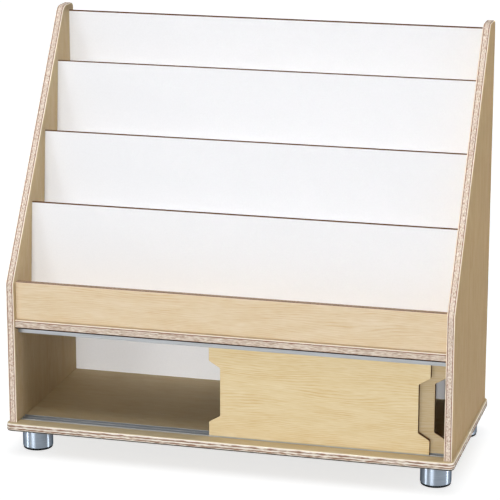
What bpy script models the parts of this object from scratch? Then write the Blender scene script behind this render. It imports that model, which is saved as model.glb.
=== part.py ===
"""Low plywood book rack: stepped display tiers over a cupboard with two sliding doors, on round steel feet.

The origin is on the floor under the middle of the base board. +X runs to the right as seen from the
front, +Y to the back and +Z up. All sizes are in metres.
"""
import math

import bmesh
import bpy
from mathutils import Matrix, Vector

# Sheet stock
PLY = 0.016                     # side panels, base, shelf and lip
THIN_PLY = 0.0095               # doors and tier floors
WHITE_BOARD = 0.008             # dividers and back panel
EDGE_ROUND = 0.0025             # softened arrises of the thick plywood
DOOR_EDGE_ROUND = 0.001
FIT_GAP = 0.0003                # between pieces that are glued, screwed or rest on each other

# Side panels
RACK_WIDTH = 0.898              # over both side panels
PANEL_DEPTH = 0.391
PANEL_HEIGHT = 0.794            # above the base board
BEND_HEIGHT = 0.288             # where the front edge starts to slope back
TOP_LENGTH = 0.054              # level top, measured to the point where the slope would meet it
TOP_FRONT_RADIUS = 0.023
TOP_BACK_RADIUS = 0.012
BEND_RADIUS = 0.006
SLOT_DEPTH = 0.006              # how deep the boards stand in the side panels

# Base board
BASE_FRONT_OVERHANG = 0.012
BASE_SIDE_OVERHANG = 0.008
BASE_BACK_OVERHANG = 0.008
BASE_CORNER_RADIUS = 0.012

# Shelf and front lip
CUPBOARD_HEIGHT = 0.1965        # clear height under the shelf
SHELF_SETBACK = 0.006           # behind the side panels' front edges
LIP_SETBACK = 0.013

# Dividers, tier floors and back panel
TIERS = ("front", "middle", "rear")
DIVIDER_LEAN = math.radians(5.25)
DIVIDER_SETBACK = 0.0252        # level distance behind the sloping edge
FRONT_DIVIDER_RISE = 0.1402     # top of the front divider above the bend
REAR_DIVIDER_DROP = 0.109       # top of the rear divider below the side panels' top
POCKET_DEPTH = 0.088            # tier floor below the top of the divider in front of it
BACK_PANEL_DROP = 0.0174        # below the side panels' top
BACK_PANEL_INSET = 0.019        # behind it, to the side panels' back edge

# Sliding doors and their tracks
TRACK_SETBACK = 0.021
TRACK_WALL = 0.0016
UPPER_TRACK_HEIGHT = 0.014
LOWER_TRACK_HEIGHT = 0.0064
LOWER_TRACK_PROUD = 0.002       # what shows of the lower track above the base board
DOOR_SIDE_PLAY = 0.00075        # each side of a door in its channel
DOOR_ENGAGEMENT = 0.0055        # door top inside the upper track
DOOR_OVERLAP = 0.014            # of the two doors when both are shut
FRONT_DOOR_REST_GAP = 0.0323    # from the front door's right edge to the right side panel
REAR_DOOR_REST_GAP = 0.003
NOTCH_DEPTH = 0.0227            # finger notch, cut into both ends of a door
NOTCH_MOUTH = 0.1252
NOTCH_BOTTOM = 0.0984
NOTCH_RADIUS = 0.004

# Feet
FOOT_HEIGHT = 0.050             # floor to the base board
FOOT_DIAMETER = 0.061
FOOT_WALL = 0.002
FOOT_PLATE = 0.003              # closed top of the steel sleeve
FOOT_SIDE_INSET = 0.048         # base board's edge to the middle of a foot
FOOT_FRONT_INSET = 0.067
FOOT_BACK_INSET = 0.048
GLIDE_HEIGHT = 0.0045           # what shows of the glide below the sleeve
GLIDE_STEP = 0.001              # how far the glide stands back from the sleeve's outside
GLIDE_SPIGOT = 0.012
GLIDE_CHAMFER = 0.001

# Fasteners
DOWEL_DIAMETER = 0.008
DOWEL_IN_LIP = 0.018
DOWEL_COVER = 0.004             # shelf left under a dowel
DOWEL_COUNT = 4
BOLT_DIAMETER = 0.008
BOLT_HEAD_DIAMETER = 0.016
BOLT_HEAD_HEIGHT = 0.005
INSERT_WALL = 0.002
INSERT_COVER = 0.0015           # base board left between an insert and the track groove's floor
BASE_SCREW_DIAMETER = 0.0045
BASE_SCREW_HEAD = 0.009
BASE_SCREW_RIM = 0.0005
BASE_SCREW_LENGTH = 0.045
BASE_SCREWS_PER_PANEL = 3
TRACK_SCREW_DIAMETER = 0.003
TRACK_SCREW_HEAD = 0.006
TRACK_SCREW_HEAD_HEIGHT = 0.0016
TRACK_SCREW_LENGTH = 0.011
TRACK_SCREW_COUNT = 5

# Fineness of the round forms
ARC_STEP = math.radians(11.0)
EDGE_SEGMENTS = 2
FOOT_SIDES = 32
FASTENER_SIDES = 16
WELD = 0.00001
CUT_MARGIN = 0.002              # how far a cutter passes the face that it opens

# Finishes: sRGB colour, roughness, metallic
BIRCH_PLY = ((0.87, 0.77, 0.60), 0.45, 0.0)
WHITE_LAMINATE = ((0.95, 0.95, 0.95), 0.35, 0.0)
ALUMINIUM = ((0.66, 0.68, 0.70), 0.35, 1.0)
CHROME = ((0.78, 0.80, 0.82), 0.12, 1.0)
BLACK_PLASTIC = ((0.03, 0.03, 0.03), 0.5, 0.0)
ZINC_STEEL = ((0.70, 0.70, 0.66), 0.4, 1.0)
BEECH = ((0.80, 0.63, 0.45), 0.6, 0.0)

# Places worked out from the sizes
BASE_WIDTH = RACK_WIDTH + 2 * BASE_SIDE_OVERHANG
BASE_DEPTH = BASE_FRONT_OVERHANG + PANEL_DEPTH + BASE_BACK_OVERHANG
BASE_TOP = FOOT_HEIGHT + PLY
PANEL_FRONT = BASE_FRONT_OVERHANG - BASE_DEPTH / 2
INNER_WIDTH = RACK_WIDTH - 2 * PLY
SLOTTED_LENGTH = INNER_WIDTH + 2 * (SLOT_DEPTH - FIT_GAP)
SHELF_TOP = BASE_TOP + CUPBOARD_HEIGHT + PLY
LIP_TOP = BASE_TOP + BEND_HEIGHT
BACK_PANEL_FRONT = PANEL_FRONT + PANEL_DEPTH - BACK_PANEL_INSET - WHITE_BOARD
TRACK_LENGTH = INNER_WIDTH - 2 * FIT_GAP
TRACK_CHANNEL = THIN_PLY + 2 * DOOR_SIDE_PLAY
TRACK_PITCH = TRACK_CHANNEL + TRACK_WALL
TRACK_WIDTH = 2 * TRACK_PITCH + TRACK_WALL
TRACK_MIDDLE = PANEL_FRONT + TRACK_SETBACK + TRACK_WIDTH / 2
LOWER_TRACK_BOTTOM = BASE_TOP + LOWER_TRACK_PROUD - LOWER_TRACK_HEIGHT
UPPER_TRACK_TOP = SHELF_TOP - PLY - FIT_GAP
FRONT_FEET = FOOT_FRONT_INSET - BASE_DEPTH / 2
REAR_FEET = BASE_DEPTH / 2 - FOOT_BACK_INSET
INSERT_LENGTH = LOWER_TRACK_BOTTOM - FIT_GAP - INSERT_COVER - FOOT_HEIGHT
STANDING_SHEET = (math.pi / 2, 0.0, 0.0)              # outline drawn in X and Z
END_ON_SHEET = (math.pi / 2, 0.0, math.pi / 2)        # outline drawn in Y and Z
END_ON_UPSIDE_DOWN = (-math.pi / 2, 0.0, -math.pi / 2)


def clear_scene():
    """Remove every object, and make the collections for the parts and for the cutters."""
    for old in list(bpy.data.objects):
        bpy.data.objects.remove(old)
    for name in ("book_rack", "cutters"):
        collection = bpy.data.collections.new(name)
        bpy.context.scene.collection.children.link(collection)


def linear(channel):
    """sRGB channel as linear light."""
    if channel <= 0.04045:
        return channel / 12.92
    return ((channel + 0.055) / 1.055) ** 2.4


def finish_material(name, finish):
    """Principled material from a finish."""
    colour, roughness, metallic = finish
    material = bpy.data.materials.new(name + "_finish")
    material.use_nodes = True
    shader = material.node_tree.nodes["Principled BSDF"]
    shader.inputs["Base Color"].default_value = [linear(channel) for channel in colour] + [1.0]
    shader.inputs["Roughness"].default_value = roughness
    shader.inputs["Metallic"].default_value = metallic
    return material


def place(item, location, rotation, parent):
    item.location = location
    item.rotation_euler = rotation
    item.parent = parent


def add_part(name, mesh, finish, location=(0, 0, 0), rotation=(0, 0, 0), parent=None):
    """One named piece of the rack with its own material."""
    part = bpy.data.objects.new(name, mesh)
    bpy.data.collections["book_rack"].objects.link(part)
    mesh.materials.append(finish_material(name, finish))
    place(part, location, rotation, parent)
    return part


def add_cutter(name, mesh, location=(0, 0, 0), rotation=(0, 0, 0), parent=None):
    """A hidden solid that is cut out of other pieces."""
    cutter = bpy.data.objects.new(name, mesh)
    bpy.data.collections["cutters"].objects.link(cutter)
    cutter.hide_render = True
    cutter.display_type = "WIRE"
    place(cutter, location, rotation, parent)
    return cutter


def add_parts(mesh, finish, places):
    """A copy of a piece, with a name of its own, at each (name, location)."""
    for name, location in places:
        add_part(name, mesh.copy(), finish, location)


def cut(part, cutters):
    """Take each cutter out of a piece."""
    for cutter in cutters:
        boolean = part.modifiers.new(cutter.name, "BOOLEAN")
        boolean.operation = "DIFFERENCE"
        boolean.solver = "EXACT"
        boolean.object = cutter


def box_mesh(name, size):
    """Closed box centred on its origin."""
    bm = bmesh.new()
    bmesh.ops.create_cube(bm, size=1.0, matrix=Matrix.Diagonal((*size, 1.0)))
    mesh = bpy.data.meshes.new(name)
    bm.to_mesh(mesh)
    bm.free()
    return mesh


def evaluated_mesh(data, modify=None):
    """Mesh of a curve or a profile as Blender evaluates it, welded and with its flat faces joined."""
    drawn = bpy.data.objects.new("drawn", data)
    bpy.context.scene.collection.objects.link(drawn)
    if modify:
        modify(drawn)
    mesh = bpy.data.meshes.new_from_object(drawn.evaluated_get(bpy.context.evaluated_depsgraph_get()))
    bpy.data.objects.remove(drawn)
    bm = bmesh.new()
    bm.from_mesh(mesh)
    bmesh.ops.remove_doubles(bm, verts=bm.verts, dist=WELD)
    bmesh.ops.dissolve_limit(bm, angle_limit=math.radians(0.5), verts=bm.verts, edges=bm.edges)
    bm.to_mesh(mesh)
    bm.free()
    return mesh


def rounded_outline(corners):
    """Points of a closed outline whose corners (x, y, radius) are arcs tangent to both sides."""
    points = []
    for index, (x, y, radius) in enumerate(corners):
        corner = Vector((x, y))
        if radius == 0:
            points.append(corner)
            continue
        before = Vector(corners[index - 1][:2]) - corner
        after = Vector(corners[(index + 1) % len(corners)][:2]) - corner
        half_angle = before.angle(after) / 2
        turn = math.pi - 2 * half_angle
        towards_centre = (before.normalized() + after.normalized()).normalized()
        centre = corner + towards_centre * radius / math.sin(half_angle)
        first = corner + before.normalized() * radius / math.tan(half_angle) - centre
        steps = max(1, math.ceil(turn / ARC_STEP))
        sense = math.copysign(1.0, after.cross(before))
        for step in range(steps + 1):
            points.append(centre + Matrix.Rotation(sense * turn * step / steps, 2) @ first)
    return points


def sheet_mesh(name, corners, thickness):
    """Flat sheet cut to an outline of (x, y, radius) corners, with its middle plane on Z = 0."""
    points = rounded_outline(corners)
    curve = bpy.data.curves.new(name, "CURVE")
    curve.dimensions = "2D"
    curve.fill_mode = "BOTH"
    curve.extrude = thickness / 2
    spline = curve.splines.new("POLY")
    spline.points.add(len(points) - 1)
    for spline_point, point in zip(spline.points, points):
        spline_point.co = (point.x, point.y, 0.0, 1.0)
    spline.use_cyclic_u = True
    mesh = evaluated_mesh(curve)
    mesh.name = name
    return mesh


def turned_mesh(name, profile, sides):
    """Solid turned about Z from (radius, height) points that run down its outer side.

    A profile that ends off the axis is closed into a ring, as for a sleeve.
    """
    edges = [(index, index + 1) for index in range(len(profile) - 1)]
    if profile[-1][0] > 0:
        edges.append((len(profile) - 1, 0))
    outline = bpy.data.meshes.new(name + "_profile")
    outline.from_pydata([(radius, 0.0, height) for radius, height in profile], edges, [])

    def turn(drawn):
        screw = drawn.modifiers.new("turn", "SCREW")
        screw.steps = sides
        screw.render_steps = sides
        screw.use_merge_vertices = True
        screw.merge_threshold = WELD

    mesh = evaluated_mesh(outline, turn)
    mesh.name = name
    mesh.shade_smooth()
    mesh.set_sharp_from_angle(angle=math.radians(30.0))
    return mesh


def pin_mesh(name, radius, top, bottom):
    """Plain round pin, or the hole for one, between two heights."""
    return turned_mesh(name, [(0, top), (radius, top), (radius, bottom), (0, bottom)], FASTENER_SIDES)


def grouped_mesh(name, single, spots):
    """One cutter mesh with a copy of a solid at each spot."""
    bm = bmesh.new()
    for spot in spots:
        known = len(bm.verts)
        bm.from_mesh(single)
        bmesh.ops.translate(bm, verts=list(bm.verts)[known:], vec=spot)
    mesh = bpy.data.meshes.new(name)
    bm.to_mesh(mesh)
    bm.free()
    return mesh


def round_edges(mesh, width, chosen):
    """Soften the edges for which chosen(middle point, direction) holds."""
    bm = bmesh.new()
    bm.from_mesh(mesh)
    edges = []
    for edge in bm.edges:
        start, end = (vert.co for vert in edge.verts)
        if chosen((start + end) / 2, (end - start).normalized()):
            edges.append(edge)
    bmesh.ops.bevel(bm, geom=edges, offset=width, offset_type="OFFSET", segments=EDGE_SEGMENTS,
                    profile=0.5, affect="EDGES", clamp_overlap=True)
    bm.to_mesh(mesh)
    bm.free()


def numbered(name, spots):
    """Names counted from 1, paired with their spots."""
    return [(f"{name}_{number}", spot) for number, spot in enumerate(spots, 1)]


def evenly(count, length):
    """Middles of equal shares of a length that is centred on 0."""
    return [length * ((index + 0.5) / count - 0.5) for index in range(count)]


def slotted_board(name, size, finish, location, slots, parent=None):
    """A board of a (depth, height) whose ends stand in the side panels. Its cutter joins the slots."""
    size = Vector((SLOTTED_LENGTH, *size))
    grown = size + Vector((2 * FIT_GAP,) * 3)
    slots.append(add_cutter(name + "_slot", box_mesh(name + "_slot", grown), location, parent=parent))
    return add_part(name, box_mesh(name, size), finish, location, parent=parent)


def slope_depth(height):
    """How far the sloping front edge has come back at a height above the base board."""
    return (PANEL_DEPTH - TOP_LENGTH) * (height - BEND_HEIGHT) / (PANEL_HEIGHT - BEND_HEIGHT)


def side_panels(slots, screw_holes):
    """Two plywood sides: upright below, sloping back above the bend, with a small round-cornered top."""
    corners = [
        (0.0, FIT_GAP, 0.0),
        (PANEL_DEPTH, FIT_GAP, 0.0),
        (PANEL_DEPTH, PANEL_HEIGHT, TOP_BACK_RADIUS),
        (slope_depth(PANEL_HEIGHT), PANEL_HEIGHT, TOP_FRONT_RADIUS),
        (0.0, BEND_HEIGHT, BEND_RADIUS),
    ]
    for name, side in (("left_side_panel", -1), ("right_side_panel", 1)):
        mesh = sheet_mesh(name, corners, PLY)
        round_edges(mesh, EDGE_ROUND,
                    lambda middle, run: abs(middle.z) > PLY / 2 - WELD and middle.y > FIT_GAP + WELD)
        panel = add_part(name, mesh, BIRCH_PLY, (side * (INNER_WIDTH + PLY) / 2, PANEL_FRONT, BASE_TOP),
                         END_ON_SHEET)
        cut(panel, slots + [screw_holes])


def base_board(cutters):
    """Bottom board, round at its corners, that stands out past the panels all round."""
    half_width, half_depth = BASE_WIDTH / 2, BASE_DEPTH / 2
    corners = [(-half_width, -half_depth), (half_width, -half_depth),
               (half_width, half_depth), (-half_width, half_depth)]
    mesh = sheet_mesh("base_board", [(*corner, BASE_CORNER_RADIUS) for corner in corners], PLY)
    round_edges(mesh, EDGE_ROUND, lambda middle, run: abs(middle.z) > PLY / 2 - WELD)
    board = add_part("base_board", mesh, BIRCH_PLY, (0, 0, FOOT_HEIGHT + PLY / 2))
    cut(board, cutters)


def shelf_and_lip(slots):
    """Shelf over the cupboard with the lip doweled on its front. Returns the shelf."""
    front = PANEL_FRONT + SHELF_SETBACK
    depth = BACK_PANEL_FRONT - FIT_GAP - front
    shelf = slotted_board("shelf_board", (depth, PLY), BIRCH_PLY,
                          (0, front + depth / 2, SHELF_TOP - PLY / 2), slots)
    round_edges(shelf.data, EDGE_ROUND, lambda middle, run: abs(run.x) > 0.5 and middle.y < 0)

    height = LIP_TOP - SHELF_TOP - FIT_GAP
    lip_mesh = box_mesh("front_lip", (INNER_WIDTH - 2 * FIT_GAP, PLY, height))
    round_edges(lip_mesh, EDGE_ROUND, lambda middle, run: abs(run.x) > 0.5 and middle.z > 0)
    lip_middle = PANEL_FRONT + LIP_SETBACK + PLY / 2
    lip = add_part("front_lip", lip_mesh, BIRCH_PLY, (0, lip_middle, LIP_TOP - height / 2))

    spots = [(x, lip_middle, SHELF_TOP) for x in evenly(DOWEL_COUNT, INNER_WIDTH)]
    radius = DOWEL_DIAMETER / 2
    bottom = DOWEL_COVER - PLY
    dowel = pin_mesh("lip_dowel", radius, DOWEL_IN_LIP, bottom)
    add_parts(dowel, BEECH, numbered("lip_dowel", spots))
    hole = pin_mesh("lip_dowel_hole", radius + FIT_GAP, DOWEL_IN_LIP + FIT_GAP, bottom - FIT_GAP)
    holes = add_cutter("lip_dowel_holes", grouped_mesh("lip_dowel_holes", hole, spots))
    cut(shelf, [holes])
    cut(lip, [holes])
    return shelf


def display_tiers(slots):
    """Leaning dividers, each with the tier floor that runs back from it to the board behind."""
    first_top = BEND_HEIGHT + FRONT_DIVIDER_RISE
    rise = (PANEL_HEIGHT - REAR_DIVIDER_DROP - first_top) / (len(TIERS) - 1)
    run = slope_depth(first_top + rise) - slope_depth(first_top)
    lean_sin, lean_cos = math.sin(DIVIDER_LEAN), math.cos(DIVIDER_LEAN)
    pitch = run * lean_cos - rise * lean_sin
    climb = run * lean_sin + rise * lean_cos

    arris = Vector((0, PANEL_FRONT + slope_depth(first_top) + DIVIDER_SETBACK, BASE_TOP + first_top))
    slant = bpy.data.objects.new("tier_slant", None)
    bpy.data.collections["book_rack"].objects.link(slant)
    place(slant, arris, (-DIVIDER_LEAN, 0, 0), None)

    bottom = -(arris.z - SHELF_TOP - FIT_GAP - WHITE_BOARD * lean_sin) / lean_cos
    for index, position in enumerate(TIERS):
        top = index * climb
        front = index * pitch
        slotted_board(position + "_divider", (WHITE_BOARD, top - bottom), WHITE_LAMINATE,
                      (0, front + WHITE_BOARD / 2, (top + bottom) / 2), slots, slant)

        floor_top = top - POCKET_DEPTH
        floor_front = front + WHITE_BOARD + FIT_GAP
        floor_back = front + pitch - FIT_GAP
        if position == TIERS[-1]:
            floor_back = (BACK_PANEL_FRONT - FIT_GAP - arris.y - floor_top * lean_sin) / lean_cos
        slotted_board(position + "_tier_floor", (floor_back - floor_front, THIN_PLY), BIRCH_PLY,
                      (0, (floor_front + floor_back) / 2, floor_top - THIN_PLY / 2), slots, slant)
        bottom = floor_top - THIN_PLY


def back_panel(slots):
    """Upright white back, from the base board nearly to the top."""
    bottom = BASE_TOP + FIT_GAP
    top = BASE_TOP + PANEL_HEIGHT - BACK_PANEL_DROP
    slotted_board("back_panel", (WHITE_BOARD, top - bottom), WHITE_LAMINATE,
                  (0, BACK_PANEL_FRONT + WHITE_BOARD / 2, (top + bottom) / 2), slots)


def track_corners(height):
    """Comb section with two channels, open at the top, centred across its width."""
    half = TRACK_WIDTH / 2
    corners = [(-half, 0.0), (half, 0.0), (half, height)]
    for channel in (1, 0):
        left = TRACK_WALL + channel * TRACK_PITCH - half
        right = left + TRACK_CHANNEL
        corners += [(right, height), (right, TRACK_WALL), (left, TRACK_WALL), (left, height)]
    corners.append((-half, height))
    return [(*corner, 0.0) for corner in corners]


def tracks(shelf):
    """Upper track screwed under the shelf and lower one let into the base. Returns the base's groove."""
    upper_mesh = sheet_mesh("upper_track", track_corners(UPPER_TRACK_HEIGHT), TRACK_LENGTH)
    upper = add_part("upper_track", upper_mesh, ALUMINIUM, (0, TRACK_MIDDLE, UPPER_TRACK_TOP),
                     END_ON_UPSIDE_DOWN)
    lower_mesh = sheet_mesh("lower_track", track_corners(LOWER_TRACK_HEIGHT), TRACK_LENGTH)
    add_part("lower_track", lower_mesh, ALUMINIUM, (0, TRACK_MIDDLE, LOWER_TRACK_BOTTOM), END_ON_SHEET)

    spots = [(x, TRACK_MIDDLE + TRACK_PITCH / 2, UPPER_TRACK_TOP - TRACK_WALL)
             for x in evenly(TRACK_SCREW_COUNT, TRACK_LENGTH)]
    shank, head = TRACK_SCREW_DIAMETER / 2, TRACK_SCREW_HEAD / 2
    head_top = -FIT_GAP
    head_bottom = head_top - TRACK_SCREW_HEAD_HEIGHT
    chamfer = TRACK_SCREW_HEAD_HEIGHT / 2
    screw = turned_mesh("upper_track_screw", [
        (0, TRACK_SCREW_LENGTH), (shank, TRACK_SCREW_LENGTH), (shank, head_top), (head, head_top),
        (head, head_top - chamfer), (head - chamfer, head_bottom), (0, head_bottom)], FASTENER_SIDES)
    add_parts(screw, ZINC_STEEL, numbered("upper_track_screw", spots))
    hole = pin_mesh("upper_track_screw_hole", shank + FIT_GAP, TRACK_SCREW_LENGTH + FIT_GAP, head_bottom)
    holes = add_cutter("upper_track_screw_holes", grouped_mesh("upper_track_screw_holes", hole, spots))
    cut(upper, [holes])
    cut(shelf, [holes])

    groove_bottom = LOWER_TRACK_BOTTOM - FIT_GAP
    groove_top = BASE_TOP + CUT_MARGIN
    return add_cutter("lower_track_groove", box_mesh(
        "lower_track_groove", (INNER_WIDTH, TRACK_WIDTH + 2 * FIT_GAP, groove_top - groove_bottom)),
        (0, TRACK_MIDDLE, (groove_top + groove_bottom) / 2))


def doors():
    """Two thin plywood doors, one in each channel, with finger notches in both ends."""
    bottom = LOWER_TRACK_BOTTOM + TRACK_WALL + FIT_GAP
    top = UPPER_TRACK_TOP - UPPER_TRACK_HEIGHT + DOOR_ENGAGEMENT
    half_pitch = TRACK_PITCH / 2
    width = (INNER_WIDTH + DOOR_OVERLAP) / 2
    half_height = (top - bottom) / 2
    right_end = [
        (width / 2, -half_height, 0.0),
        (width / 2, -NOTCH_MOUTH / 2, NOTCH_RADIUS),
        (width / 2 - NOTCH_DEPTH, -NOTCH_BOTTOM / 2, NOTCH_RADIUS),
        (width / 2 - NOTCH_DEPTH, NOTCH_BOTTOM / 2, NOTCH_RADIUS),
        (width / 2, NOTCH_MOUTH / 2, NOTCH_RADIUS),
        (width / 2, half_height, 0.0),
    ]
    left_end = [(-x, -y, radius) for x, y, radius in right_end]
    for name, y, rest_gap in (("front_door", TRACK_MIDDLE - half_pitch, FRONT_DOOR_REST_GAP),
                              ("rear_door", TRACK_MIDDLE + half_pitch, REAR_DOOR_REST_GAP)):
        mesh = sheet_mesh(name, right_end + left_end, THIN_PLY)
        round_edges(mesh, DOOR_EDGE_ROUND, lambda middle, run: abs(middle.z) > THIN_PLY / 2 - WELD)
        x = INNER_WIDTH / 2 - rest_gap - width / 2
        add_part(name, mesh, BIRCH_PLY, (x, y, (top + bottom) / 2), STANDING_SHEET)


def foot_places(name):
    """A name for each of the four feet, with the foot's middle on the floor."""
    x = BASE_WIDTH / 2 - FOOT_SIDE_INSET
    rows = (("front", FRONT_FEET), ("rear", REAR_FEET))
    return [(f"{name}_{row}_{side}", (sign * x, y, 0.0))
            for row, y in rows for side, sign in (("left", -1), ("right", 1))]


def feet():
    """Steel sleeves with black glides, bolted to inserts in the base board. Returns the inserts' holes."""
    outer = FOOT_DIAMETER / 2
    inner = outer - FOOT_WALL
    sleeve_top = FOOT_HEIGHT - FIT_GAP
    plate_bottom = sleeve_top - FOOT_PLATE
    bolt = BOLT_DIAMETER / 2
    bolt_hole = bolt + FIT_GAP
    sleeve = turned_mesh("foot_sleeve", [
        (bolt_hole, sleeve_top), (outer, sleeve_top), (outer, GLIDE_HEIGHT), (inner, GLIDE_HEIGHT),
        (inner, plate_bottom), (bolt_hole, plate_bottom)], FOOT_SIDES)
    flange = outer - GLIDE_STEP
    spigot = inner - FIT_GAP
    flange_top = GLIDE_HEIGHT - FIT_GAP
    glide = turned_mesh("foot_glide", [
        (0, flange_top + GLIDE_SPIGOT), (spigot, flange_top + GLIDE_SPIGOT), (spigot, flange_top),
        (flange, flange_top), (flange, GLIDE_CHAMFER), (flange - GLIDE_CHAMFER, 0), (0, 0)], FOOT_SIDES)
    add_parts(sleeve, CHROME, foot_places("foot_sleeve"))
    add_parts(glide, BLACK_PLASTIC, foot_places("foot_glide"))

    head = BOLT_HEAD_DIAMETER / 2
    head_top = plate_bottom - FIT_GAP
    bolt_top = FOOT_HEIGHT + INSERT_LENGTH
    bolt_mesh = turned_mesh("foot_bolt", [
        (0, bolt_top), (bolt, bolt_top), (bolt, head_top), (head, head_top),
        (head, head_top - BOLT_HEAD_HEIGHT), (0, head_top - BOLT_HEAD_HEIGHT)], FASTENER_SIDES)
    add_parts(bolt_mesh, ZINC_STEEL, foot_places("foot_bolt"))

    insert_outer = bolt_hole + INSERT_WALL
    insert = turned_mesh("foot_insert", [
        (bolt_hole, bolt_top), (insert_outer, bolt_top),
        (insert_outer, FOOT_HEIGHT), (bolt_hole, FOOT_HEIGHT)], FASTENER_SIDES)
    inserts = foot_places("foot_insert")
    add_parts(insert, ZINC_STEEL, inserts)
    hole = pin_mesh("foot_insert_hole", insert_outer + FIT_GAP, bolt_top + FIT_GAP, FOOT_HEIGHT - CUT_MARGIN)
    holes = grouped_mesh("foot_insert_holes", hole, [spot for name, spot in inserts])
    return add_cutter("foot_insert_holes", holes)


def base_screws():
    """Countersunk screws, between the feet, from under the base into the side panels. Returns their holes."""
    panel_middle = (INNER_WIDTH + PLY) / 2
    feet_middle = (FRONT_FEET + REAR_FEET) / 2
    between_feet = REAR_FEET - FRONT_FEET - FOOT_DIAMETER
    spots = [(sign * panel_middle, feet_middle + y, FOOT_HEIGHT)
             for sign in (-1, 1) for y in evenly(BASE_SCREWS_PER_PANEL, between_feet)]
    shank, head = BASE_SCREW_DIAMETER / 2, BASE_SCREW_HEAD / 2
    cone_height = head - shank

    def screw_profile(clearance, bottom):
        top = BASE_SCREW_LENGTH + clearance
        rim = BASE_SCREW_RIM + clearance
        return [(0, top), (shank + clearance, top), (shank + clearance, rim + cone_height),
                (head + clearance, rim), (head + clearance, bottom), (0, bottom)]

    screw = turned_mesh("base_screw", screw_profile(0.0, 0.0), FASTENER_SIDES)
    add_parts(screw, ZINC_STEEL, numbered("base_screw", spots))
    hole = turned_mesh("base_screw_hole", screw_profile(FIT_GAP, -CUT_MARGIN), FASTENER_SIDES)
    return add_cutter("base_screw_holes", grouped_mesh("base_screw_holes", hole, spots))


def build_rack():
    """Make the boards first, so that their slots and holes are known when the sides and base are cut."""
    clear_scene()
    slots = []
    shelf = shelf_and_lip(slots)
    back_panel(slots)
    display_tiers(slots)
    groove = tracks(shelf)
    doors()
    insert_holes = feet()
    screw_holes = base_screws()
    side_panels(slots, screw_holes)
    base_board([groove, insert_holes, screw_holes])


build_rack()
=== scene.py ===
"""Looks of the book rack: birch plywood, white laminate, aluminium door tracks and turned steel feet.

The boards, tracks and feet are drawn again as fine surfaces in the place of their CAD nodes, and the nodes
that stay get their finish. Sizes are in metres, with +X to the right, +Y to the back and +Z up.
"""
import math

import bmesh
import bpy
import numpy as np
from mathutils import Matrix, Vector


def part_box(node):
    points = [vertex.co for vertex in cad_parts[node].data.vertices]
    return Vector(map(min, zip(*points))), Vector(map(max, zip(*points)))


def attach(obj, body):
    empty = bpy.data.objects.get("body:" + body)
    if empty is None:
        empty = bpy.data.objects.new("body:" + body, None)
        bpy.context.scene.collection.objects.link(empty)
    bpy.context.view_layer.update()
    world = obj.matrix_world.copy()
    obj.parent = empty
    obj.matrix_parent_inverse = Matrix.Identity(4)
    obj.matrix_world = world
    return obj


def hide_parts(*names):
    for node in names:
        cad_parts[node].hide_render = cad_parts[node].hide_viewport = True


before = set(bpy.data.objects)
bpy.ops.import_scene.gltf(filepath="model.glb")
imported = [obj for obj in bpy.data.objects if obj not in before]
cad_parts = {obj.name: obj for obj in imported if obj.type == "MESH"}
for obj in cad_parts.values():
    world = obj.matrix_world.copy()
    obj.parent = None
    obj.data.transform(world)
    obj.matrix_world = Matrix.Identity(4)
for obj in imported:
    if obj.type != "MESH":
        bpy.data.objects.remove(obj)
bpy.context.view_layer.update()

# Axes of the boards: along the outline's two sides, then through the thickness
X, Y, Z = np.eye(3)
DIVIDER_LEAN = math.radians(5.25)
LEAN_UP = np.array([0, math.sin(DIVIDER_LEAN), math.cos(DIVIDER_LEAN)])
LEAN_BACK = np.array([0, math.cos(DIVIDER_LEAN), -math.sin(DIVIDER_LEAN)])
END_ON = (Y, Z, X)
LEVEL = (X, Y, Z)
STANDING = (X, Z, Y)
LEANING = (X, LEAN_UP, LEAN_BACK)
LEANING_FLOOR = (X, LEAN_BACK, LEAN_UP)

# Sizes that the nodes' boxes don't give
PANEL_BEND = 0.354              # height where the side panels start to slope back
PANEL_TOP_DROP = 0.004          # the photo shows the tops this much lower than the solids' tops
PANEL_TOP_LENGTH = 0.0567       # level top of a side panel, up to the line of its slope
PANEL_FRONT_RADIUS = 0.023
PANEL_BACK_RADIUS = 0.012
PANEL_BEND_RADIUS = 0.006
BASE_END_TRIM = 0.003           # the photo shows the base this much shorter at each end than the solid
BASE_FRONT_TRIM = 0.003         # and this much shorter at its front
BASE_CORNER_RADIUS = 0.012
DRAWN_LOWER = {"shelf_board": (0, 0, 0.0016)}   # the photo shows the shelf this much thicker below
PLY_EASING = 0.0025             # softened arrises of the thick plywood
LIP_RAISE = 0.0011              # the photo shows the lip this much higher than the solid
LIP_FOOT_SHARE = 0.5            # height of the lip's lower arris, as a share of its upper one
DOOR_EASING = 0.001
LAMINATE_EASING = 0.0005
NOTCH_DEPTH = 0.0227            # finger notch in both ends of a door
NOTCH_MOUTH = 0.1252
NOTCH_BOTTOM = 0.0984
NOTCH_RADIUS = 0.004
TRACK_WALL = 0.0016
TRACK_WALLS = 3                 # front, middle and rear wall of a track, with two channels between them
UPPER_RIM_TRIM = 0.001          # the photo shows the upper track's rims this much higher
TRACK_EASING = 0.0004
SLEEVE_WALL = 0.002
SLEEVE_PLATE = 0.003            # closed top of a foot's sleeve
SLEEVE_EASING = 0.0008
INSERT_WALL = 0.002             # a foot's threaded insert, round the bolt
GLIDE_STEP = 0.0013             # flange of a glide past its spigot
GLIDE_FLANGE = 0.0042
GLIDE_EASING = 0.001
BASE_SCREW_SHANK = 0.00225
BASE_SCREW_RIM = 0.0005
FIT_GAP = 0.0003

# Fineness
ARC_STEPS = 8
GUARD_SHARE = 0.5               # flat run beside an arc, as a share of its radius, where its shading ends
FOOT_SIDES = 96
HOLE_SIDES = 24
SHARP_ANGLE = math.radians(35.0)
WELD = 1e-6


# Surfaces

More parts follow.
